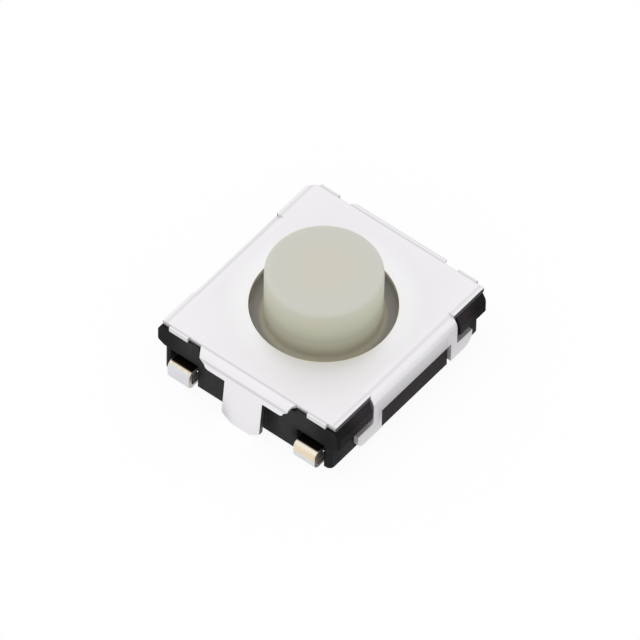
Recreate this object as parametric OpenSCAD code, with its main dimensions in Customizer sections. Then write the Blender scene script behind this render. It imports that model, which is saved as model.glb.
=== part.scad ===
// Surface-mount tactile push button switch, 6 mm class, with a soft push button,
// a folded steel cover with a ground tab, and four terminals folded under the base.
// Millimetres. +Z is up, -Y is the side with the ground tab. The origin is on the button's
// axis at the level of the tab's tip; the terminals stand tab_drop above it.

/* [Cover] */
// Width of the cover's top between its plain edges, along X
plate_x = 6.0; // [5.8:0.1:6.4]
// Width of the cover's top between its notched edges, along Y
plate_y = 6.4; // [6.3:0.1:6.8]
// How far the ears stand out past the notched edges
ear_out = 0.1; // [0.05:0.05:0.15]
// Length of each ear
ear_l = 0.64; // [0.5:0.02:0.7]
// Distance from the side of the cover to the first ear
ear_inset = 0.29; // [0.2:0.01:0.35]
// Thickness of the steel sheet
sheet = 0.15; // [0.1:0.01:0.2]
// Outer radius of the wings' bends
bend_r = 0.25; // [0.22:0.01:0.3]
// Diameter of the round hole for the button
hole_d = 4.09; // [3.9:0.01:4.2]
// Height of the cover's top above the board
cover_h = 1.78; // [1.76:0.01:2.0]
// Cut across the cover's marking corner
corner_cut = 0.32; // [0.2:0.02:0.4]

/* [Side wings] */
// Length of the wing's bend on the two tabbed sides
wing_l = 3.32; // [3.0:0.02:3.5]
// Depth of the wing below the cover's top
wing_h = 0.54; // [0.45:0.01:0.7]
// How far each end of the wing slopes inwards round the bend
wing_nick = 0.14; // [0.02:0.02:0.2]
// How far each end of the wing slopes inwards down to its lower edge
wing_slope = 0.3; // [0.2:0.02:0.4]
// Radius of the wing's lower corners
wing_r = 0.14; // [0.05:0.01:0.2]
// Width of the ground tab
tab_w = 1.3; // [1.0:0.05:1.6]
// How far the tab's tip reaches below the terminals
tab_drop = 0.18; // [0.05:0.01:0.3]
// How far the tab's tip splays outwards
tab_splay = 0.14; // [0.05:0.01:0.2]
// Height of the slopes on the tab's tip
tab_tip = 0.22; // [0.1:0.02:0.3]

/* [Clips] */
// Length of the clip's bend along Y
clip_l = 3.62; // [3.4:0.02:3.8]
// Outer radius of the clip's bend
clip_r = 0.42; // [0.3:0.01:0.45]
// Mean width of the clip's legs
leg_w = 0.31; // [0.28:0.01:0.4]
// How far the window lies off the middle of the clip
window_shift = 0.05; // [0:0.01:0.06]
// How far each clip lies off the cover's middle
clip_shift = 0.1; // [0:0.02:0.12]
// How far the legs' outer faces stand past the cover's plain edges
clip_out = 0.12; // [0.08:0.01:0.2]
// Depth of the window's top edge below the cover's top
window_drop = 0.86; // [0.7:0.02:1.0]
// Length of each foot past its leg
foot_l = 0.66; // [0.4:0.02:0.7]
// Depth of the feet's top edges below the cover's top
foot_drop = 1.07; // [1.04:0.01:1.15]
// Height of each foot
foot_h = 0.5; // [0.3:0.02:0.55]
// Radius of the front foot's outer lower corner
foot_r = 0.26; // [0.05:0.01:0.28]
// Radius of the back foot's outer lower corner
foot_back_r = 0.38; // [0.05:0.01:0.42]

/* [Button] */
// Diameter of the button's stem
stem_d = 3.26; // [3.0:0.02:3.4]
// Height of the button above the cover
stem_h = 1.47; // [1.0:0.01:2.0]
// Radius of the button's top edge
stem_edge = 0.18; // [0.05:0.01:0.4]
// Diameter of the flange that the cover holds down
flange_d = 4.7; // [4.5:0.02:4.74]
// Thickness of the flange
flange_t = 0.22; // [0.18:0.01:0.25]
// Width of the raised lip round the flange
lip_w = 0.25; // [0.15:0.01:0.28]
// Hollow curve from the stem to the flange
stem_fillet = 0.22; // [0.1:0.01:0.24]
// Diameter of the nub that presses the dome
nub_d = 1.2; // [0.8:0.05:1.4]
// Height of the nub under the flange
nub_h = 0.08; // [0.04:0.01:0.12]
// Play above the lip, and between the nub and the dome
play = 0.02; // [0.01:0.005:0.03]

/* [Base] */
// Width across the upper blocks, along X
base_x = 6.32; // [6.26:0.02:6.4]
// How far the base below the ledges stands back from the clips' inner faces
low_gap = 0.07; // [0.04:0.01:0.12]
// Width of the base along Y
base_y = 6.42; // [6.36:0.02:6.44]
// How far the base sits off the button's axis, towards the tab
base_shift = 0.06; // [0:0.01:0.07]
// Distance of the base's underside above the board
base_lift = 0.02; // [0.01:0.01:0.05]
// Height of the slope at the top of the upper blocks
block_slope = 0.28; // [0.1:0.02:0.35]
// Depth of the ledges' outer edges below the cover's top
ledge_drop = 0.75; // [0.7:0.01:0.85]
// Height of the slope under the ledges
ledge_slope = 0.14; // [0.05:0.01:0.15]
// Radius of the upper blocks' upright corners
base_r = 0.08; // [0.05:0.01:0.2]
// Radius of the base's upright corners below the ledges
base_low_r = 0.16; // [0.05:0.01:0.2]
// Diameter of the upper well, where the flange moves
well_d = 5.0; // [4.96:0.02:5.1]
// Diameter of the dome's seat
seat_d = 4.2; // [4.1:0.02:4.3]
// Depth of the dome's seat
seat_h = 0.15; // [0.1:0.01:0.18]
// Clearance between the clip and the base
clip_gap = 0.03; // [0.02:0.01:0.05]
// Room between the upper blocks and the clip's legs
block_gap = 0.1; // [0.04:0.02:0.14]
// How far the block in the clip's window stands out past the base behind the legs
window_out = 0.07; // [0.03:0.01:0.1]

/* [Terminals] */
// Distance between the terminals' centres, along X
pitch = 4.38; // [4.2:0.02:4.44]
// Width of a terminal
lead_w = 0.76; // [0.6:0.02:0.86]
// Thickness of the contact strip
lead_t = 0.15; // [0.1:0.01:0.18]
// How far the terminals stand out of the base
lead_out = 0.28; // [0.1:0.01:0.32]
// Outer radius of the terminals' bends
lead_r = 0.2; // [0.19:0.01:0.25]
// Height of the strip's top above the board
lead_h = 0.65; // [0.6:0.01:0.7]
// Length of the terminal's foot, folded back under the base
lead_foot = 0.6; // [0.5:0.01:0.66]
// Depth of the pocket round each terminal
pocket_y = 0.42; // [0.38:0.01:0.5]
// Room beside each terminal in its pocket
pocket_side = 0.09; // [0.05:0.01:0.12]
// Room above each terminal in its pocket
pocket_top = 0.22; // [0.15:0.01:0.26]
// Diameter of the contact in the middle of the seat
centre_d = 1.1; // [0.8:0.05:1.3]

/* [Dome] */
// Diameter of the click dome
dome_d = 4.0; // [3.8:0.02:4.08]
// Height of the click dome, as a share of the room between its seat and the cover
dome_share = 0.37; // [0.3:0.01:0.4]
// Thickness of the click dome
dome_t = 0.07; // [0.05:0.01:0.09]

/* [Hidden] */
$fn = 96;
eps = 0.01;
// Levels, from the tab's tip upwards
board_z = tab_drop;
top_z = board_z + cover_h;
under_z = top_z - sheet;
base_z = board_z + base_lift;
floor_z = board_z + lead_h;
lead_z = floor_z - lead_t;
dome_h = dome_share * (under_z - floor_z);
// Lines of the cover in plan
ear_y = plate_y / 2 + ear_out;
clip_face = plate_x / 2 + clip_out;
clip_bend = clip_face - clip_r;
wing_face = plate_y / 2 + bend_r;
notch_x = plate_x / 2 - ear_inset - ear_l;
// Feet and window of the clips
foot_top_z = top_z - foot_drop;
foot_z = foot_top_z - foot_h;
window_z = top_z - window_drop;
foot_end = clip_l / 2 + foot_l;
// Base behind the clips
clip_back = clip_face - sheet - clip_gap;
base_low_x = 2 * (clip_face - sheet - low_gap);
window_w = clip_l - 2 * leg_w - 2 * clip_gap;
// Button levels: the nub just clears the dome, and the lip rises to the cover
nub_z = floor_z + dome_h + play;
flange_under_z = nub_z + nub_h;
flange_z = flange_under_z + flange_t;
lip_z = under_z - play;
// Terminals
lead_x = pitch / 2;
lead_face = base_y / 2 + lead_out;
pocket_back = base_y / 2 - pocket_y;

module copy_mirror(v) {
    children();
    mirror(v) children();
}

// Lays a profile drawn as (outwards, up) along Y's direction and runs it along X
module run_along_x(length) {
    rotate([90, 0, 90]) linear_extrude(length, center = true) children();
}

// Lays an outline drawn as (along, up) upright, and gives it a depth outwards along +Y
module face_out(depth) {
    translate([0, depth, 0]) rotate([90, 0, 0]) linear_extrude(depth) children();
}

module rounded_rect(w, d, r) {
    square([w - 2 * r, d], center = true);
    square([w, d - 2 * r], center = true);
    for (x = [-1, 1], y = [-1, 1]) translate([x * (w / 2 - r), y * (d / 2 - r)]) circle(r);
}

// Quarter of a ring: the outside of a bend of radius r in strip of thickness t
module bend_profile(r, t) {
    intersection() {
        difference() {
            circle(r);
            circle(r - t);
        }
        square(r);
    }
}

// Section of the cover's edge: the sheet runs out, bends at radius r and goes down to low_z
module flange_profile(bend_at, r, low_z) {
    translate([bend_at - r, under_z]) square([r, sheet]);
    translate([bend_at, top_z - r]) bend_profile(r, sheet);
    translate([bend_at + r - sheet, low_z]) square([sheet, top_z - r - low_z]);
}

// Plan of the cover's flat top
module plate_outline() {
    difference() {
        union() {
            square([plate_x, plate_y], center = true);
            for (sx = [-1, 1], sy = [-1, 1]) ear_outline(sx, sy);
        }
        circle(d = hole_d);
        both_sides() translate([clip_bend, -clip_l / 2]) square([plate_x, clip_l]);
        translate([-plate_x / 2, ear_y]) rotate(45)
            square([2 * corner_cut, corner_cut * sqrt(2)], center = true);
    }
}

module ear_outline(sx, sy) {
    ear_mid = notch_x + ear_l / 2;
    translate([sx * ear_mid, sy * plate_y / 2]) square([ear_l, 2 * ear_out], center = true);
}

// Outline of a wing seen from its own side: its ends slope in to rounded lower corners
module wing_outline() {
    bend_low_z = top_z - bend_r;
    low_z = top_z - wing_h;
    high_x = wing_l / 2 - wing_nick;
    low_x = wing_l / 2 - wing_slope;
    translate([-wing_l / 2, bend_low_z]) square([wing_l, bend_r + eps]);
    polygon([[-high_x, bend_low_z + eps], [-low_x, low_z + wing_r], [-low_x + wing_r, low_z],
             [low_x - wing_r, low_z], [low_x, low_z + wing_r], [high_x, bend_low_z + eps]]);
    for (x = [-1, 1]) translate([x * (low_x - wing_r), low_z + wing_r]) circle(wing_r);
}

// Plan of a wing: its ends slope in as the bend runs outwards
module wing_plan() {
    high_x = wing_l / 2 - wing_nick;
    polygon([[-wing_l / 2, 0], [wing_l / 2, 0], [wing_l / 2, plate_y / 2],
             [high_x, wing_face], [-high_x, wing_face], [-wing_l / 2, plate_y / 2]]);
}

// Outline of the ground tab, tapered at its tip
module tab_outline() {
    run_in = 1.4; // The slopes run inwards this many times their height
    tip_w = tab_w - 2 * tab_tip * run_in;
    tab_top = top_z - wing_h + eps;
    polygon([[-tip_w / 2, 0], [tip_w / 2, 0], [tab_w / 2, tab_tip],
             [tab_w / 2, tab_top], [-tab_w / 2, tab_top], [-tab_w / 2, tab_tip]]);
}

// Side view of the tab: it leans outwards a little towards its tip
module tab_profile() {
    tab_top = top_z - wing_h + eps;
    polygon([[wing_face - sheet, tab_top], [wing_face, tab_top],
             [wing_face + tab_splay, 0], [wing_face + tab_splay - sheet, 0]]);
}

module wing() {
    intersection() {
        run_along_x(wing_l) flange_profile(plate_y / 2, bend_r, top_z - wing_h);
        face_out(plate_y) wing_outline();
        linear_extrude(top_z) wing_plan();
    }
}

module ground_tab() {
    intersection() {
        run_along_x(tab_w) tab_profile();
        face_out(plate_y) tab_outline();
    }
}

// Outline of a clip: a bridge over the window, two legs, and two feet turned apart
module clip_outline() {
    leg_in = clip_l / 2 - leg_w;
    difference() {
        union() {
            translate([-clip_l / 2, foot_z]) square([clip_l, top_z + eps - foot_z]);
            foot_outline(foot_r);
            mirror([1, 0]) foot_outline(foot_back_r);
        }
        translate([-leg_in - window_shift, foot_z - eps])
            square([2 * leg_in, window_z - foot_z + eps]);
    }
}

// A foot turned outwards from its leg, with its outer lower corner rounded to radius r
module foot_outline(r) {
    inner = clip_l / 2 - leg_w / 2;
    length = foot_end - inner;
    translate([inner, foot_z]) difference() {
        square([length, foot_h]);
        translate([length - r, -eps]) difference() {
            square([r + eps, r + eps]);
            translate([0, r + eps]) circle(r);
        }
    }
}

module clip() {
    rotate([0, 0, -90]) intersection() {
        run_along_x(2 * foot_end) flange_profile(clip_bend, clip_r, foot_z);
        face_out(plate_x) clip_outline();
    }
}

// The two clips face each other, each a little off the middle
module both_sides() {
    for (turn = [0, 180]) rotate([0, 0, turn]) translate([0, clip_shift, 0]) children();
}

module cover() {
    color("#e9e7ea") {
        translate([0, 0, under_z]) linear_extrude(sheet) plate_outline();
        copy_mirror([0, 1, 0]) wing();
        mirror([0, 1, 0]) ground_tab();
        both_sides() clip();
    }
}

// Half section of the button, turned about its axis
module button_profile() {
    stem_r = stem_d / 2;
    button_z = top_z + stem_h;
    difference() {
        union() {
            translate([0, flange_under_z]) square([stem_r, button_z - stem_edge - flange_under_z]);
            translate([0, flange_under_z]) square([stem_r - stem_edge, button_z - flange_under_z]);
            translate([stem_r - stem_edge, button_z - stem_edge]) circle(stem_edge);
            translate([0, flange_under_z]) square([flange_d / 2, flange_t]);
            translate([flange_d / 2 - lip_w, flange_under_z]) square([lip_w, lip_z - flange_under_z]);
            translate([0, flange_z]) square([stem_r + stem_fillet, stem_fillet]);
            translate([0, nub_z]) square([nub_d / 2, flange_under_z - nub_z + eps]);
        }
        translate([stem_r + stem_fillet, flange_z + stem_fillet]) circle(stem_fillet);
    }
}

module button() {
    color("#cdcdc1") rotate_extrude() button_profile();
}

module dome() {
    rise = dome_h - dome_t;
    dome_r = (pow(dome_d / 2, 2) + pow(rise, 2)) / (2 * rise);
    color("#d9d6cc") towards_tab() rotate_extrude() intersection() {
        translate([0, floor_z + rise - dome_r]) difference() {
            circle(dome_r + dome_t, $fn = 200);
            circle(dome_r, $fn = 200);
        }
        translate([0, floor_z]) square([dome_d / 2, dome_h + eps]);
    }
}

// Section of the base's upper half across X: sloped upper blocks and ledges for the feet
module upper_section() {
    top_x = plate_x / 2;
    ledge_z = top_z - ledge_drop;
    polygon([[base_low_x / 2, ledge_z - ledge_slope], [base_x / 2, ledge_z],
             [base_x / 2, under_z - block_slope], [top_x, under_z], [-top_x, under_z],
             [-base_x / 2, under_z - block_slope], [-base_x / 2, ledge_z],
             [-base_low_x / 2, ledge_z - ledge_slope]]);
}

// Room in the base for one clip, with the block that fills the clip's window
module clip_room() {
    room_l = clip_l + 2 * block_gap;
    difference() {
        union() {
            translate([clip_back, -room_l / 2, 0]) cube([base_x, room_l, top_z]);
            translate([clip_bend - clip_gap, -room_l / 2, top_z - clip_r])
                cube([base_x, room_l, clip_r]);
        }
        translate([0, window_shift - window_w / 2, 0])
            cube([clip_back + window_out, window_w, window_z - clip_gap]);
    }
}

// The base and what it holds sit a little off the button's axis
module towards_tab() {
    translate([0, -base_shift, 0]) children();
}

// Room for a wing's bend in the base's top edge, and for the wing itself in a wider base
module wing_room() {
    room_l = wing_l + 2 * clip_gap;
    bend_y = plate_y / 2 - base_shift - clip_gap;
    back_y = wing_face - sheet - base_shift - clip_gap / 2;
    translate([-room_l / 2, bend_y, top_z - bend_r]) cube([room_l, base_y, bend_r]);
    translate([-room_l / 2, back_y, 0]) cube([room_l, base_y, top_z]);
}

// Pockets round the terminals, open below and in front
module pocket() {
    pocket_w = lead_w + 2 * pocket_side;
    translate([lead_x - pocket_w / 2, pocket_back, 0])
        cube([pocket_w, base_y, floor_z + pocket_top]);
}

// Shallow square in the underside, and two holes left by the pins that held the contacts
module underside_marks() {
    recess = 2.6;
    recess_h = 0.06;
    pin_d = 0.6;
    pin_h = 0.2;
    translate([-recess / 2, -recess / 2, 0]) cube([recess, recess, base_z + recess_h]);
    for (s = [-1, 1]) translate([s * lead_x, 0, 0]) cylinder(h = base_z + pin_h, d = pin_d);
}

module base_body() {
    low_h = top_z - ledge_drop - ledge_slope - base_z;
    intersection() {
        rotate([90, 0, 0]) linear_extrude(base_y, center = true) upper_section();
        linear_extrude(top_z) rounded_rect(base_x, base_y, base_r);
    }
    translate([0, 0, base_z]) linear_extrude(low_h + eps)
        rounded_rect(base_low_x, base_y, base_low_r);
    // The window blocks stand out past the lower part of the base
    block_h = window_z - clip_gap - base_z;
    translate([0, base_shift, 0]) both_sides() translate([0, window_shift - window_w / 2, base_z])
        cube([clip_back + window_out, window_w, block_h]);
}

module base() {
    color("#2f2c2f") towards_tab() difference() {
        base_body();
        translate([0, base_shift, 0]) both_sides() clip_room();
        translate([0, 0, floor_z + seat_h]) cylinder(h = top_z, d = well_d);
        translate([0, 0, floor_z]) cylinder(h = top_z, d = seat_d);
        copy_mirror([1, 0, 0]) copy_mirror([0, 1, 0]) pocket();
        copy_mirror([0, 1, 0]) wing_room();
        underside_marks();
        contact_strips(-1);
        contact_strips(1);
    }
}

// Side view of a terminal: out of the base, down its face, and back under it
module terminal_profile() {
    bend_y = lead_face - lead_r;
    foot_y = lead_face - lead_foot;
    translate([0, lead_z]) square([bend_y, lead_t]);
    translate([bend_y, floor_z - lead_r]) bend_profile(lead_r, lead_t);
    translate([lead_face - lead_t, board_z + lead_r])
        square([lead_t, lead_h - 2 * lead_r]);
    translate([bend_y, board_z + lead_r]) mirror([0, 1]) bend_profile(lead_r, lead_t);
    translate([foot_y, board_z]) square([bend_y - foot_y, lead_t]);
}

// A flat bar through the base, with a terminal at each end
module contact_strips(side) {
    translate([side * lead_x, 0, 0]) copy_mirror([0, 1, 0])
        run_along_x(lead_w) terminal_profile();
    if (side < 0) centre_arm();
    else outer_arms();
}

// Arm from the bar to the round contact under the dome's middle
module centre_arm() {
    arm_w = 0.7;
    translate([0, 0, lead_z]) cylinder(h = lead_t, d = centre_d);
    translate([-lead_x, -arm_w / 2, lead_z]) cube([lead_x, arm_w, lead_t]);
}

// Two arms under the dome's rim, on the far side from the centre contact
module outer_arms() {
    arm_w = 0.55;
    arm_l = 1.3;
    arm_y = 1.05;
    for (s = [-1, 1]) translate([lead_x - arm_l, s * arm_y - arm_w / 2, lead_z])
        cube([arm_l, arm_w, lead_t]);
}

module centre_contact() {
    color("#d8d2c4") towards_tab() contact_strips(-1);
}

module outer_contact() {
    color("#d8d2c4") towards_tab() contact_strips(1);
}

cover();
button();
dome();
base();
centre_contact();
outer_contact();
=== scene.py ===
from math import atan2, cos, hypot, pi, radians, sin

import bmesh
import bpy
from mathutils import Matrix, Vector


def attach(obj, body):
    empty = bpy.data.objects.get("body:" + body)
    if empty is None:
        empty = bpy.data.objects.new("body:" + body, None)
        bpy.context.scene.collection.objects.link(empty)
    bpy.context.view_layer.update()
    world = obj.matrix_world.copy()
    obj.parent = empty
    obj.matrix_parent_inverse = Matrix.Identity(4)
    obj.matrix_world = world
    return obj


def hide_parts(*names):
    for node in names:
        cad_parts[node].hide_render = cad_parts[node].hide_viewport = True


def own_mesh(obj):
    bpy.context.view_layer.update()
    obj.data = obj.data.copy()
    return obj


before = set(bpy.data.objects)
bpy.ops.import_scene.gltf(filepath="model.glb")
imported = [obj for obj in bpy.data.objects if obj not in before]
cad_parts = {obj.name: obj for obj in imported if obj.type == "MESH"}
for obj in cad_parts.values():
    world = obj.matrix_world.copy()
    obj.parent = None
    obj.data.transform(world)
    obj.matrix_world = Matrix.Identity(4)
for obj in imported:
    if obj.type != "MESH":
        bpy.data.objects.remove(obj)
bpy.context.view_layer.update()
scene = bpy.context.scene


# Cover
# One strip of plated steel sheet, stamped flat as a blank with its hole, ears and tabs, then
# folded down on four sides. Two clips with turned-out feet hold it on the base, and the tab
# on the front side is soldered to ground.
mm = 0.001
touching = 1e-7
top_z = 1.96 * mm
sheet = 0.15 * mm
plate_x, plate_y = 3.0 * mm, 3.2 * mm
hole_r = 2.045 * mm
wing_r, wing_half, wing_drop = 0.25 * mm, 1.66 * mm, 0.54 * mm
tab_half, tab_lean, tab_low = 0.65 * mm, 0.14 * mm, 0.015 * mm
tab_tall = top_z - wing_drop - tab_low
tab_run = hypot(tab_tall, tab_lean)
clip_r, clip_half, clip_face = 0.42 * mm, 1.81 * mm, 3.12 * mm
clip_bend = clip_face - clip_r
clip_shift = 0.1 * mm
bend_steps, half_hole_steps = 10, 64


def down(depth, radius):
    """Distance past a bend line, along the blank, of a point this far below the top."""
    return radius * pi / 2 + depth - radius


def bent(past, radius):
    """(outwards, height) of a point that lies this far past a bend line of the blank."""
    if past < radius * pi / 2:
        turn = past / radius
        return radius * sin(turn), top_z - radius + radius * cos(turn)
    return radius, top_z - radius - (past - radius * pi / 2)


def arc(cx, cy, radius, start, end, steps):
    """Points on an arc, with the angles in degrees."""
    turn = [radians(start + (end - start) * i / steps) for i in range(steps + 1)]
    return [(cx + radius * cos(a), cy + radius * sin(a)) for a in turn]


def wing_edge(tabbed):
    """Right half of a wing's outline in the blank, from its lower middle up to the plate."""
    low = plate_y + down(wing_drop, wing_r)
    corner_x, corner, nick = 1.22 * mm, 0.14 * mm, 0.14 * mm
    points = [(0.0, low)]
    if tabbed:
        tip, tip_rise, tip_half, inside = low + tab_run, 0.22 * mm, 0.342 * mm, 0.03 * mm
        points = [(0.0, tip), (tip_half, tip), (tab_half, tip - tip_rise)]
        points += arc(tab_half + inside, low + inside, inside, 180, 270, 3)
    points += arc(corner_x, low - corner, corner, 90, 0, 6)
    for step in range(4, -1, -1):
        turn = radians(90 * step / 4)
        points += [(wing_half - nick * sin(turn), plate_y + wing_r * turn)]
    ear_in, ear_end, ear_y = 2.07 * mm, 2.71 * mm, 3.3 * mm
    points += [(ear_in, plate_y), (ear_in, ear_y), (ear_end, ear_y)]
    return points + [(ear_end, plate_y), (plate_x, plate_y)]


def clip_edge(window_half, foot_r):
    """Half of a clip's outline in the blank as (past the bend line, away from its middle)."""
    window_top = down(0.86 * mm, clip_r)
    foot_top, foot_low = down(1.07 * mm, clip_r), down(1.57 * mm, clip_r)
    foot_end, inside = 2.47 * mm, 0.04 * mm
    points = [(plate_x - clip_bend, clip_half), (foot_top - inside, clip_half)]
    points += [(foot_top, clip_half + inside), (foot_top, foot_end)]
    points += arc(foot_low - foot_r, foot_end - foot_r, foot_r, 90, 0, 8)
    return points + [(foot_low, window_half), (window_top, window_half)]


def cover_blank():
    """Outline of the flat blank, clockwise from the middle of the back edge."""
    back, front = wing_edge(tabbed=False), [(x, -y) for x, y in wing_edge(tabbed=True)]
    back_half = clip_edge(window_half=1.55 * mm, foot_r=0.38 * mm)
    front_half = clip_edge(window_half=1.45 * mm, foot_r=0.26 * mm)
    clip = [(clip_bend + s, clip_shift + t) for s, t in back_half]
    clip += [(clip_bend + s, clip_shift - t) for s, t in reversed(front_half)]
    cut = 0.22 * mm
    corner = [(-plate_x, plate_y - cut), (-plate_x + cut, plate_y)]
    outline = back + clip + front[::-1] + [(-x, y) for x, y in front[1:]]
    return outline + [(-x, -y) for x, y in clip] + corner + [(-x, y) for x, y in back[-2:0:-1]]


def fold(at, near):
    """Place on the folded cover of a point of the blank; near is a point in the same fold."""
    side = 1 if near.x > 0 else -1
    on_clip = abs(near.x) > clip_bend and abs(side * near.y - clip_shift) < clip_half
    if on_clip or abs(near.x) > plate_x:
        out, high = bent(abs(at.x) - clip_bend, clip_r)
        return (out + clip_bend) * side, at.y, high
    past = abs(at.y) - plate_y
    if past <= 0 or abs(near.x) > wing_half:
        return at.x, at.y, top_z
    side = 1 if at.y > 0 else -1
    low = down(wing_drop, wing_r)
    if past > low + touching:
        share = (past - low) / tab_run
        out = plate_y + wing_r + share * tab_lean
        return at.x, out * side, tab_low + tab_tall * (1 - share)
    out, high = bent(past, wing_r)
    return at.x, (out + plate_y) * side, high


def mesh_object(name, bm):
    """A new object in the scene with the mesh that bm holds."""
    data = bpy.data.meshes.new(name)
    bm.to_mesh(data)
    bm.free()
    obj = bpy.data.objects.new(name, data)
    scene.collection.objects.link(obj)
    return obj


def soften(obj, width, segments=2):
    """Rounds the sharp edges a little, as stamping and moulding leave them."""
    edge = obj.modifiers.new("soft_edges", "BEVEL")
    edge.width, edge.segments = width, segments
    edge.limit_method, edge.angle_limit = "ANGLE", radians(35)


def applied(obj):
    """Turns obj's modifiers into its plain mesh."""
    ready = bpy.data.meshes.new_from_object(obj.evaluated_get(bpy.context.evaluated_depsgraph_get()))
    obj.modifiers.clear()
    obj.data = ready


def finished(obj, smooth_angle=32, leaning=()):
    """Applies obj's modifiers and shades it smooth, but dead flat where it lies flat."""
    applied(obj)
    data = obj.data
    data.shade_smooth()
    data.set_sharp_from_angle(angle=radians(smooth_angle))
    ways = [Vector((1, 0, 0)), Vector((0, 1, 0)), Vector((0, 0, 1)), *leaning]
    lies_flat, turns_little = 0.99999, cos(radians(smooth_angle))
    flats = {}
    for face in data.polygons:
        if max(abs(face.normal.dot(way)) for way in ways) > lies_flat:
            for v in face.vertices:
                flats.setdefault(v, []).append(face.normal.copy())
    shading = [corner.vector.copy() for corner in data.corner_normals]
    for face in data.polygons:
        for corner, v in zip(face.loop_indices, face.vertices):
            for flat in flats.get(v, []):
                if flat.dot(face.normal) > turns_little:
                    shading[corner] = flat
    data.normals_split_custom_set(shading)


def is_sheared(edge):
    """Whether an edge of the blank lies where a clip's end was cut free of the plate."""
    for v in edge.verts:
        side = 1 if v.co.x > 0 else -1
        off = abs(abs(side * v.co.y - clip_shift) - clip_half)
        if off > touching or not clip_bend - touching < abs(v.co.x) < plate_x + touching:
            return False
    return True


bm = bmesh.new()
outline = cover_blank()
front_middle = [i for i, (x, y) in enumerate(outline) if x == 0][1]
right_half = outline[:front_middle + 1] + arc(0, 0, hole_r, -90, 90, half_hole_steps)
left_half = outline[front_middle:] + outline[:1] + arc(0, 0, hole_r, 90, 270, half_hole_steps)
for half in (right_half, left_half):
    bm.faces.new([bm.verts.new((x, y, 0)) for x, y in half])
bmesh.ops.triangulate(bm, faces=bm.faces[:])
bmesh.ops.remove_doubles(bm, verts=bm.verts, dist=touching)

lines = [(start + radius * pi / 2 * i / bend_steps, axis)
         for start, radius, axis in ((clip_bend, clip_r, 0), (plate_y, wing_r, 1))
         for i in range(bend_steps + 1)]
lines += [(plate_y + down(wing_drop, wing_r), 1)]
lines += [(clip_half + clip_shift, 1), (clip_half - clip_shift, 1)]
for place, axis in lines:
    for side in (-1, 1):
        across = Vector((1 - axis, axis, 0))
        bmesh.ops.bisect_plane(bm, geom=bm.verts[:] + bm.edges[:] + bm.faces[:],
                               plane_co=side * place * across, plane_no=across,
                               dist=0.1 * touching)
bmesh.ops.split_edges(bm, edges=[e for e in bm.edges if is_sheared(e)])
bm.normal_update()
bmesh.ops.reverse_faces(bm, faces=[f for f in bm.faces if f.normal.z < 0])

middles = {f: f.calc_center_median() for f in bm.faces}
folded, a_little = {}, 0.001
for v in bm.verts:
    around = sum((middles[f] for f in v.link_faces), Vector()) / len(v.link_faces)
    folded[v] = fold(v.co, near=v.co.lerp(around, a_little))
for v, place in folded.items():
    v.co = place
cover = mesh_object("cover_sheet", bm)
wall = cover.modifiers.new("sheet", "SOLIDIFY")
wall.thickness, wall.offset, wall.use_even_offset = sheet, -1, True
wall.material_offset_rim = 1
soften(cover, 0.015 * mm)


class Value:
    """A number socket of a node tree: arithmetic on it adds Math nodes."""

    def __init__(self, nodes, socket):
        self.nodes, self.socket = nodes, socket

    def math(self, operation, other=0.0):
        return self.nodes.math(operation, self, other)

    def __add__(self, other):
        return self.math("ADD", other)

    def __sub__(self, other):
        return self.math("SUBTRACT", other)

    def __rsub__(self, other):
        return self.nodes.math("SUBTRACT", other, self)

    def __mul__(self, other):
        return self.math("MULTIPLY", other)

    __radd__, __rmul__ = __add__, __mul__

    def far(self):
        """The distance from zero."""
        return self.math("ABSOLUTE")

    def most(self, other):
        """The larger of the two."""
        return self.math("MAXIMUM", other)

    def between(self, low, high):
        """0 at low, 1 at high, and smooth in between."""
        made = self.nodes.node("ShaderNodeMapRange", {"interpolation_type": "SMOOTHSTEP"},
                               {"Value": self, "From Min": low, "From Max": high})
        return made["Result"]

    def near_to(self, place, reach):
        """1 at place, falling to 0 at this reach on both sides."""
        return 1 - (self - place).far().between(0.0, reach)


class Nodes:
    """A node tree, to which every node is added in the same way."""

    def __init__(self, tree):
        self.tree = tree

    def node(self, kind, settings=None, sockets=None):
        """Adds a node: its settings first, then the values or links of its sockets."""
        made = self.tree.nodes.new(kind)
        for key, value in (settings or {}).items():
            if key == "stops":
                ramp = made.color_ramp.elements
                while len(ramp) < len(value):
                    ramp.new(0.5)
                for stop, (place, colour) in zip(ramp, value):
                    stop.position, stop.color = place, (*colour, 1)
            else:
                setattr(made, key, value)
        for key, value in (sockets or {}).items():
            if isinstance(value, Value):
                self.tree.links.new(value.socket, made.inputs[key])
            else:
                made.inputs[key].default_value = value
        return {s.name: Value(self, s) for s in made.outputs if s.enabled}

    def math(self, operation, first, second):
        made = self.node("ShaderNodeMath", {"operation": operation}, {0: first, 1: second})
        return made["Value"]


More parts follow.
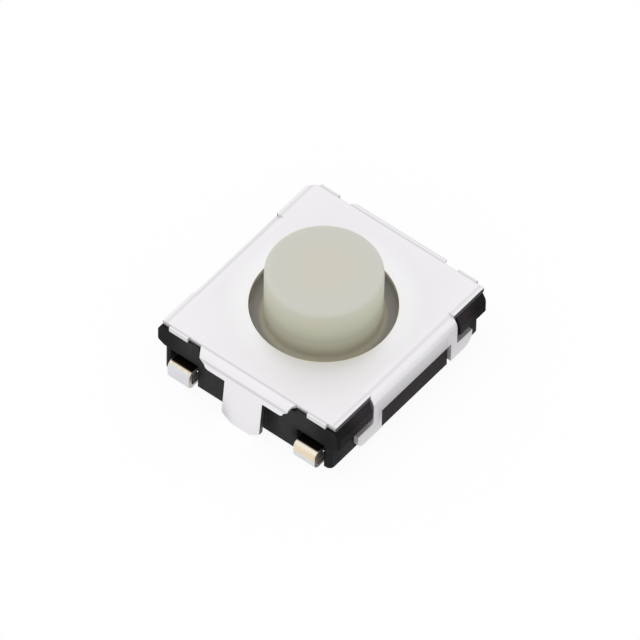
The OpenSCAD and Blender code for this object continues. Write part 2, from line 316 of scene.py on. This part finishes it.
class Finish(Nodes):
    """The nodes of a material, or of the world."""

    def __init__(self, name, owner=None):
        self.owner = owner or bpy.data.materials.new(name)
        self.owner.use_nodes = True
        super().__init__(self.owner.node_tree)
        self.tree.nodes.clear()

    def place(self, stretch=(1, 1, 1)):
        """Where a point lies on its piece, in metres from the part's origin."""
        at = self.node("ShaderNodeTexCoord")["Object"]
        return self.node("ShaderNodeMapping", None, {"Vector": at, "Scale": stretch})["Vector"]

    def parted(self):
        """The same place as X, Y and Z."""
        return self.node("ShaderNodeSeparateXYZ", None, {0: self.place()})

    def noise(self, scale, detail, stretch=(1, 1, 1)):
        """Even noise from 0 to 1, with this many swings in a metre."""
        made = self.node("ShaderNodeTexNoise", None, {
            "Vector": self.place(stretch), "Scale": scale, "Detail": detail})
        return made["Fac"]

    def blend(self, share, first, second):
        """The first colour, with this share of the second."""
        made = self.node("ShaderNodeMix", {"data_type": "RGBA"},
                         {"Factor": share, 6: first, 7: second})
        return made["Result"]

    def bump(self, height, distance):
        made = self.node("ShaderNodeBump", None, {"Height": height, "Distance": distance})
        return made["Normal"]

    def surface(self, **sockets):
        """Ends the material in its shader; a name's underscores stand for spaces."""
        named = {key.replace("_", " "): value for key, value in sockets.items()}
        shader = self.node("ShaderNodeBsdfPrincipled", None, named)["BSDF"]
        self.node("ShaderNodeOutputMaterial", None, {"Surface": shader})
        return self.owner


def from_axis(at):
    """The distance from the button's axis."""
    return (at["X"] * at["X"] + at["Y"] * at["Y"]).math("SQRT")


def steel_finish():
    """Tin-plated sheet with faint rolling lines: satin where flat, burnished by the die's bends. Its
    colour holds painted shade along the bends and on the clip's face, a painted light ring round the
    hole and a painted highlight on the hole's rim.
    """
    steel = Finish("cover_steel")
    rolled = steel.noise(9000, 2, stretch=(1, 0.06, 1))
    cloudy = steel.noise(700, 3)
    at = steel.parted()
    across, along, radius = at["X"].far(), at["Y"].far(), from_axis(at)
    # Painted shade: the bend lines and the clip's face round its window are painted darker, in place
    # of the dips that reflections show there.
    clip_crease_shade = across.near_to(clip_bend + 0.18 * mm, reach=0.08 * mm)
    wing_crease_shade = along.near_to(plate_y + 0.02 * mm, reach=0.06 * mm)
    wing_foot_shade = at["Z"].near_to(top_z - wing_r - 0.02 * mm, reach=0.10 * mm)
    wing_foot_shade = wing_foot_shade * along.between(plate_y + 0.2 * mm, plate_y + 0.22 * mm)
    window_face_shade = at["Z"].near_to(1.05 * mm, reach=0.5 * mm)
    window_face_shade = window_face_shade * across.between(2.95 * mm, 3.05 * mm)
    window_face_shade = window_face_shade * (1 - along.between(1.45 * mm, 1.6 * mm))
    painted_bend_shade = 0.6 * clip_crease_shade + wing_crease_shade + 1.2 * wing_foot_shade + window_face_shade
    # Painted light: the plate is painted paler round the hole, to cancel the shade and reflection that
    # the button casts on it.
    near_hole = 1 - radius.between(hole_r, 2.9 * mm)
    # Painted highlight: a thin cream line along the hole's rim, in place of the rim's highlight and
    # its reflection of the button.
    hole_edge = radius.near_to(hole_r, reach=0.06 * mm)
    dull_tin, tin = (0.86, 0.84, 0.865, 1), (0.90, 0.885, 0.905, 1)
    hole_ring_light_tin, bend_shade_tin = (0.945, 0.935, 0.955, 1), (0.68, 0.66, 0.68, 1)
    rim_highlight_cream = (0.99, 0.95, 0.86, 1)
    colour = steel.blend(cloudy, dull_tin, tin)
    colour = steel.blend(near_hole, colour, hole_ring_light_tin)
    colour = steel.blend(painted_bend_shade, colour, bend_shade_tin)
    colour = steel.blend(hole_edge, colour, rim_highlight_cream)
    flat = 1 - across.between(clip_bend - 0.1 * mm, clip_bend + 0.1 * mm)
    flat = flat * (1 - along.between(plate_y - 0.1 * mm, plate_y))
    satin = flat * (1 - near_hole)
    rough = 0.285 + 0.06 * rolled + 0.03 * cloudy + 0.13 * satin
    return steel.surface(Base_Color=colour, Roughness=rough, Metallic=0.6 - 0.15 * satin,
                         Normal=steel.bump(rolled, 0.0004 * mm))


def cut_edge_finish():
    """The sheet's sheared edges: duller, with the punch's upright lines and patchy tone, and painted
    shade, near black, on the plate's side rims and the tab's sides.
    """
    edge = Finish("cover_cut_edge")
    torn = edge.noise(22000, 3, stretch=(1, 1, 0.15))
    at = edge.parted()
    across = at["X"].far()
    under_z = top_z - sheet
    # Painted shade: the plate's rims at its sides and the tab's sides are painted near black.
    plate_rim_shade = across.between(plate_x - 0.03 * mm, plate_x - 0.01 * mm)
    plate_rim_shade = plate_rim_shade * at["Z"].between(under_z - 0.01 * mm, under_z + 0.01 * mm)
    tab_side_shade = across.near_to(tab_half, reach=0.02 * mm)
    tab_side_shade = tab_side_shade * (1 - at["Z"].between(1.3 * mm, 1.4 * mm))
    grey_steel, pale_steel = (0.66, 0.64, 0.655, 1), (0.84, 0.82, 0.83, 1)
    side_shade_steel = (0.10, 0.095, 0.10, 1)
    colour = edge.blend(torn, grey_steel, pale_steel)
    colour = edge.blend(plate_rim_shade.most(tab_side_shade), colour, side_shade_steel)
    return edge.surface(Base_Color=colour, Roughness=0.36 + 0.15 * torn, Metallic=0.6,
                        Normal=edge.bump(torn, 0.001 * mm))


cover.data.materials.append(steel_finish())
cover.data.materials.append(cut_edge_finish())
finished(cover, leaning=[Vector((0, tab_tall, tab_lean)).normalized()])
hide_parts("cover")
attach(cover, "housing")


# Button
# One soft cream elastomer moulding, turned in shape: a stem with a rounded edge, a flange
# with a sealing lip that the cover holds down, and a nub that presses the dome.
stem_r, stem_edge, hollow = 1.63 * mm, 0.18 * mm, 0.22 * mm
button_z = top_z + 1.47 * mm
flange_r, flange_edge = 2.35 * mm, 0.03 * mm
flange_low, flange_z = 1.2926 * mm, 1.5126 * mm
lip_in, lip_z, lip_edge, lip_foot = 2.1 * mm, 1.79 * mm, 0.05 * mm, 0.04 * mm
nub_r, nub_z, nub_edge = 0.6 * mm, 1.2126 * mm, 0.05 * mm


def turned_tree():
    """Geometry Nodes tree that turns a profile, drawn as (radius, 0, height), about Z."""
    tree = bpy.data.node_groups.new("turned_piece", "GeometryNodeTree")
    inputs = {"Geometry": "NodeSocketGeometry", "Steps Around": "NodeSocketInt",
              "Profile Points": "NodeSocketInt", "Material": "NodeSocketMaterial"}
    for name, kind in inputs.items():
        tree.interface.new_socket(name, in_out="INPUT", socket_type=kind)
    tree.interface.new_socket("Geometry", in_out="OUTPUT", socket_type="NodeSocketGeometry")
    lathe = Nodes(tree)
    given = lathe.node("NodeGroupInput")
    points = given["Profile Points"]
    grid = lathe.node("GeometryNodeMeshGrid", None, {
        "Size X": 1, "Size Y": 1, "Vertices X": given["Steps Around"], "Vertices Y": points})
    place = lathe.node("GeometryNodeInputPosition")["Position"]
    at = lathe.node("ShaderNodeSeparateXYZ", None, {0: place})
    turn = lathe.node("ShaderNodeMath", {"operation": "MULTIPLY_ADD"},
                      {0: at["X"], 1: 2 * pi, 2: pi})
    index = ((at["Y"] + 0.5) * (points - 1)).math("ROUND")
    picked = lathe.node("GeometryNodeSampleIndex", {"data_type": "FLOAT_VECTOR", "domain": "POINT"},
                        {"Geometry": given["Geometry"], "Value": place, "Index": index})
    spun = lathe.node("ShaderNodeVectorRotate", {"rotation_type": "Z_AXIS"},
                      {"Vector": picked["Value"], "Angle": turn["Value"]})
    wrapped = lathe.node("GeometryNodeSetPosition", None,
                         {"Geometry": grid["Mesh"], "Position": spun["Vector"]})
    merged = lathe.node("GeometryNodeMergeByDistance", None,
                        {"Geometry": wrapped["Geometry"], "Distance": touching})
    real = lathe.node("GeometryNodeRealizeInstances", None, {"Geometry": merged["Geometry"]})
    painted = lathe.node("GeometryNodeSetMaterial", None,
                         {"Geometry": real["Geometry"], "Material": given["Material"]})
    lathe.node("NodeGroupOutput", None, {"Geometry": painted["Geometry"]})
    return tree


def turned_piece(name, profile, steps, material):
    """A closed solid turned from profile, a list of (radius, height) from pole to pole."""
    line = bmesh.new()
    for radius, height in profile:
        line.verts.new((radius, 0, height))
    obj = mesh_object(name, line)
    maker = obj.modifiers.new("turned", "NODES")
    maker.node_group = turned
    given = {"Steps Around": steps + 1, "Profile Points": len(profile), "Material": material}
    for item in turned.interface.items_tree:
        if item.in_out == "INPUT" and item.name in given:
            maker[item.identifier] = given[item.name]
    applied(obj)
    outward = bmesh.new()
    outward.from_mesh(obj.data)
    bmesh.ops.recalc_face_normals(outward, faces=outward.faces)
    outward.to_mesh(obj.data)
    outward.free()
    finished(obj, smooth_angle=50)
    return obj


def elastomer_finish():
    """Cream elastomer, slightly translucent, with a fine matt skin; its colour holds painted shade and
    painted light down the stem's side and painted shade on the flange.
    """
    soft = Finish("button_elastomer")
    skin = soft.noise(14000, 3)
    cloudy = soft.noise(900, 2)
    at = soft.parted()
    radius = from_axis(at)
    low, tall = 1.6 * mm, 1.8 * mm
    # Painted shade and painted light: the stem's side is painted darker from its top down to a little
    # above the cover, and lighter again at its foot in the gap round the hole.
    side = soft.node("ShaderNodeValToRGB", {"stops": [
        (0.0, (0.60, 0.56, 0.42)), (0.205, (0.50, 0.475, 0.355)), (0.395, (0.44, 0.44, 0.335)),
        (0.578, (0.505, 0.51, 0.39)), (0.767, (0.555, 0.55, 0.43)), (0.956, (0.575, 0.57, 0.485)),
        (1.0, (0.61, 0.61, 0.54))]}, {"Fac": (at["Z"] - low) * (1 / tall)})["Color"]
    warm_cream, cool_cream = (0.61, 0.60, 0.505, 1), (0.61, 0.602, 0.548, 1)
    cloud, flange_shade_grey = (0.66, 0.66, 0.62, 1), (0.385, 0.375, 0.35, 1)
    cap = soft.blend(radius.between(0.4 * mm, 1.6 * mm), warm_cream, cool_cream)
    colour = soft.blend(at["Z"].between(3.35 * mm, 3.42 * mm), side, cap)
    colour = soft.blend(0.12 * cloudy, colour, cloud)
    # Painted shade: the flange and lip under the cover are painted dark grey.
    colour = soft.blend(radius.between(1.68 * mm, 1.80 * mm), colour, flange_shade_grey)
    return soft.surface(Base_Color=colour, Roughness=0.5 + 0.12 * skin,
                        Normal=soft.bump(skin, 0.002 * mm), Subsurface_Weight=0.25,
                        Subsurface_Radius=(1.0, 0.95, 0.7), Subsurface_Scale=0.25 * mm,
                        Specular_IOR_Level=0.35)


turned = turned_tree()
profile = [(0, nub_z), (nub_r - 2 * nub_edge, nub_z)]
profile += arc(nub_r - nub_edge, nub_z + nub_edge, nub_edge, -90, 0, 4)
profile += [(nub_r, flange_low), (flange_r - 2 * flange_edge, flange_low)]
profile += arc(flange_r - flange_edge, flange_low + flange_edge, flange_edge, -90, 0, 4)
profile += arc(flange_r - lip_edge, lip_z - lip_edge, lip_edge, 0, 90, 5)
profile += arc(lip_in + lip_edge, lip_z - lip_edge, lip_edge, 90, 180, 5)
profile += arc(lip_in - lip_foot, flange_z + lip_foot, lip_foot, 0, -90, 4)
profile += arc(stem_r + hollow, flange_z + hollow, hollow, 270, 180, 10)
profile += arc(stem_r - stem_edge, button_z - stem_edge, stem_edge, 0, 90, 12)
profile += [(stem_r * share, button_z) for share in (0.6, 0.3, 0)]
button = turned_piece("button_moulding", profile, steps=128, material=elastomer_finish())
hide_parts("button")
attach(button, "plunger")


# Click dome
# A thin disc of spring steel pressed into a shallow dome. It lies loose in its seat under
# the button's nub and snaps down onto the contact below.
seat_z = 0.83 * mm
dome_half, dome_h, dome_t = 2.0 * mm, 0.36 * mm, 0.07 * mm
dome_y = -0.06 * mm
dome_steps = 16
rise = dome_h - dome_t
dome_r = (dome_half ** 2 + rise ** 2) / (2 * rise)


def dome_line(radius):
    """Points from the dome's pole down to its rim, on one of its two faces."""
    centre = seat_z + rise - dome_r
    slope = atan2(dome_half, dome_r - rise)
    turn = [slope * i / dome_steps for i in range(dome_steps + 1)]
    return [(radius * sin(a), centre + radius * cos(a)) for a in turn]


def spring_finish():
    """Bright rolled spring steel with faint polishing lines."""
    spring = Finish("dome_steel")
    polished = spring.noise(3000, 2, stretch=(1, 0.2, 1))
    colour = spring.blend(polished, (0.66, 0.65, 0.62, 1), (0.74, 0.73, 0.70, 1))
    return spring.surface(Base_Color=colour, Roughness=0.16 + 0.1 * polished, Metallic=1.0,
                          Normal=spring.bump(polished, 0.001 * mm))


under, upper = dome_line(dome_r), dome_line(dome_r + dome_t)
profile = under[:-1] + [(dome_half, seat_z), (dome_half, upper[-1][1])] + upper[:-1][::-1]
dome = turned_piece("click_dome", profile, steps=96, material=spring_finish())
for v in dome.data.vertices:
    v.co.y += dome_y
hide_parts("dome")
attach(dome, "housing")
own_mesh(dome)


# Base
# One black moulding in heat-proof plastic: sloped blocks at the corners, ledges that the
# clips' feet catch under, pockets for the terminals and the well for the button and dome.
terminal_x, terminal_half = 2.19 * mm, 0.38 * mm


def merged_copy(node, name):
    """A copy of a node of the frame, with its loose triangles joined into whole faces."""
    bm = bmesh.new()
    bm.from_mesh(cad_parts[node].data)
    bmesh.ops.remove_doubles(bm, verts=bm.verts, dist=touching)
    bmesh.ops.dissolve_limit(bm, angle_limit=radians(1), verts=bm.verts, edges=bm.edges)
    return mesh_object(name, bm)


def plastic_finish():
    """Black plastic, neutral at the ends and violet elsewhere, lightly scuffed, with painted shade in
    the pockets, at the corners, beside the tab and on a small slot.
    """
    plastic = Finish("base_plastic")
    grain = plastic.noise(9000, 4)
    cloudy = plastic.noise(1200, 2)
    at = plastic.parted()
    aside, ahead = at["X"].far(), at["Y"].far()
    in_front = 1 - at["Y"].between(-2.9 * mm, -2.8 * mm)
    # Painted shade: the pockets, the corners, the face beside the tab and a small slot on the front
    # are painted near black.
    at_pocket = 1 - (aside - terminal_x).far().between(0.42 * mm, 0.8 * mm)
    at_pocket = at_pocket * at["Z"].near_to(0.85 * mm, reach=0.45 * mm)
    at_corner = (aside + ahead).between(5.3 * mm, 5.95 * mm)
    by_tab = at["X"].between(tab_half, 0.7 * mm) * (1 - at["X"].between(0.8 * mm, 1.3 * mm))
    slot_shade = at["X"].near_to(-2.64 * mm, reach=0.07 * mm)
    slot_shade = slot_shade * at["Z"].near_to(1.09 * mm, reach=0.17 * mm)
    deep = at_pocket.most(0.8 * at_corner)
    deep = deep.most(0.6 * by_tab * in_front).most(slot_shade * in_front)
    scuff = grain.between(0.66, 0.74)
    violet = plastic.blend(cloudy, (0.021, 0.0165, 0.0195, 1), (0.032, 0.0265, 0.0305, 1))
    neutral = plastic.blend(cloudy, (0.0215, 0.0225, 0.0235, 1), (0.034, 0.033, 0.0345, 1))
    scuffed, shaded = (0.12, 0.12, 0.12, 1), (0.0015, 0.0015, 0.0015, 1)
    colour = plastic.blend(ahead.between(2.6 * mm, 3.0 * mm), violet, neutral)
    colour = plastic.blend(0.3 * scuff, colour, scuffed)
    colour = plastic.blend(0.9 * deep, colour, shaded)
    return plastic.surface(Base_Color=colour, Roughness=0.4 + 0.25 * grain,
                           Normal=plastic.bump(grain, 0.006 * mm), Specular_IOR_Level=0.06)


base = merged_copy("base", "base_moulding")
soften(base, 0.015 * mm)
finished(base)
base.data.materials.clear()
base.data.materials.append(plastic_finish())
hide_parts("base")
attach(base, "housing")


# Contact strips
# Two strips of silver-plated copper alloy, moulded into the base. Each ends in two terminals
# that fold down the base's face and back under it, to be soldered flat on the board.
def contact_finish():
    """Silver plating, pale gold where the strip was bent, and bare tan metal on its cut sides, with a
    painted highlight along the top of the bend and painted shade on the flat top in the pocket.
    """
    silver = Finish("contact_metal")
    cloudy = silver.noise(2500, 3)
    patchy = silver.noise(8000, 2)
    at = silver.parted()
    worn = at["X"].between(-1.0 * mm, 1.0 * mm)
    tarnish = (1 - worn) * (1 - patchy.between(0.3, 0.7))
    gilt = at["Z"] + 0.27 * mm * worn + 0.05 * mm * cloudy + 0.12 * mm * patchy
    gilt = gilt.between(0.83 * mm, 0.88 * mm)
    # Painted highlight: a paler gold band along the top of the bend.
    rim = at["Z"].between(0.70 * mm, 0.79 * mm) * (1 - 0.5 * tarnish)
    # Painted shade: the strip's flat top, in the pocket, is painted dark brown in place of its
    # reflection of the pocket's dark roof.
    flat_top = at["Z"].between(0.81 * mm, 0.828 * mm)
    cut_side = (at["X"].far() - terminal_x).far()
    cut_side = cut_side.between(terminal_half - 0.018 * mm, terminal_half - 0.008 * mm)
    brown_gold, bend_highlight_gold = (0.55, 0.43, 0.29, 1), (0.91, 0.84, 0.70, 1)
    pocket_shade_brown = (0.03, 0.022, 0.014, 1)
    gold = silver.blend(cloudy, (0.78, 0.65, 0.47, 1), (0.90, 0.78, 0.59, 1))
    gold = silver.blend(tarnish, gold, brown_gold)
    gold = silver.blend(rim, gold, bend_highlight_gold)
    pale = silver.blend(cloudy, (0.68, 0.69, 0.72, 1), (0.80, 0.80, 0.82, 1))
    bare = silver.blend(worn, (0.62, 0.58, 0.50, 1), (0.17, 0.135, 0.12, 1))
    colour = silver.blend(gilt, pale, gold)
    colour = silver.blend(flat_top, colour, pocket_shade_brown)
    colour = silver.blend(cut_side, colour, bare)
    rough = 0.285 + 0.1 * cloudy + 0.08 * cut_side
    return silver.surface(Base_Color=colour, Roughness=rough, Metallic=0.9,
                          Normal=silver.bump(cloudy, 0.002 * mm))


contact_metal = contact_finish()
for node in ("centre_contact", "outer_contact"):
    strip = merged_copy(node, node + "_strip")
    soften(strip, 0.035 * mm, segments=3)
    finished(strip)
    strip.data.materials.clear()
    strip.data.materials.append(contact_metal)
    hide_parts(node)
    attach(strip, "housing")


# Studio
# A plain pale floor in a light tent, with one soft lamp above and to the left. The floor, as seen in
# reflections, carries a painted shadow of the part to its right and behind it.
def seen_by(ray):
    """1 for the camera's own rays and for those that gloss and glass send on, 0 for the others."""
    return ray["Is Camera Ray"].most(ray["Is Glossy Ray"]).most(ray["Is Transmission Ray"])


black, white = (0, 0, 0, 1), (1, 1, 1, 1)
bm = bmesh.new()
bmesh.ops.create_grid(bm, x_segments=1, y_segments=1, size=0.6)
floor = mesh_object("floor", bm)
paper = Finish("floor_paper")
ray = paper.node("ShaderNodeLightPath")
direct, seen = ray["Is Camera Ray"], seen_by(ray)
at = paper.parted()
# Painted shadow: in reflections the floor is darker in a band to the right of the part and behind it.
right_shade = at["X"].between(3.0 * mm, 3.7 * mm) * (1 - at["X"].between(4.0 * mm, 7.2 * mm))
back_shade = at["Y"].between(3.4 * mm, 4.0 * mm) * (1 - at["Y"].between(9 * mm, 16 * mm))
mirrored = 0.98 - 0.50 * right_shade - 0.42 * back_shade
glow = paper.blend(direct + (1 - direct) * mirrored, black, white)
matt = paper.node("ShaderNodeBsdfDiffuse", None, {"Color": white})["BSDF"]
glowing = paper.node("ShaderNodeEmission", None, {"Color": glow, "Strength": 1.0})["Emission"]
mixed = paper.node("ShaderNodeMixShader", None, {"Fac": 0.92 * seen, 1: matt, 2: glowing})["Shader"]
paper.node("ShaderNodeOutputMaterial", None, {"Surface": mixed})
floor.data.materials.append(paper.owner)

scene.world = bpy.data.worlds.new("light_tent")
tent = Finish("light_tent", scene.world)
seen = seen_by(tent.node("ShaderNodeLightPath"))
tent_colour = tent.blend(seen, (0.94, 0.94, 0.94, 1), white)
tent_glow = tent.node("ShaderNodeBackground", None, {"Color": tent_colour, "Strength": 1.0})
tent.node("ShaderNodeOutputWorld", None, {"Surface": tent_glow["Background"]})

lamp_place = Vector((-0.04, -0.03, 0.08))
lamp_data = bpy.data.lights.new("soft_lamp", "AREA")
lamp_data.size, lamp_data.energy = 0.06, 0.006
lamp = bpy.data.objects.new("soft_lamp", lamp_data)
lamp.location = lamp_place
lamp.rotation_euler = (-lamp_place).to_track_quat("-Z", "Y").to_euler()
lamp.visible_glossy = False
scene.collection.objects.link(lamp)

turn, lift, tilt = radians(38.0237), radians(50.1882), radians(1.0344)
focal_length, frame_width, sensor_width = 14781.09, 640, 36
distance, aim_right, aim_up = 400, 0.0997, 0.4339
back = Vector((sin(turn) * cos(lift), -cos(turn) * cos(lift), sin(lift)))
level = Vector((cos(turn), sin(turn), 0))
upward = back.cross(level)
right = cos(tilt) * level + sin(tilt) * upward
upward = cos(tilt) * upward - sin(tilt) * level
camera_data = bpy.data.cameras.new("camera")
camera_data.sensor_width = sensor_width
camera_data.lens = sensor_width * focal_length / frame_width
camera_data.clip_start, camera_data.clip_end = 0.01, 10
camera = bpy.data.objects.new("camera", camera_data)
camera.matrix_world = Matrix((right, upward, back)).transposed().to_4x4()
from_top = (distance * back - aim_right * right - aim_up * upward) * mm
camera.location = Vector((0, 0, top_z)) + from_top
scene.collection.objects.link(camera)
scene.camera = camera
scene.view_settings.view_transform = "Standard"
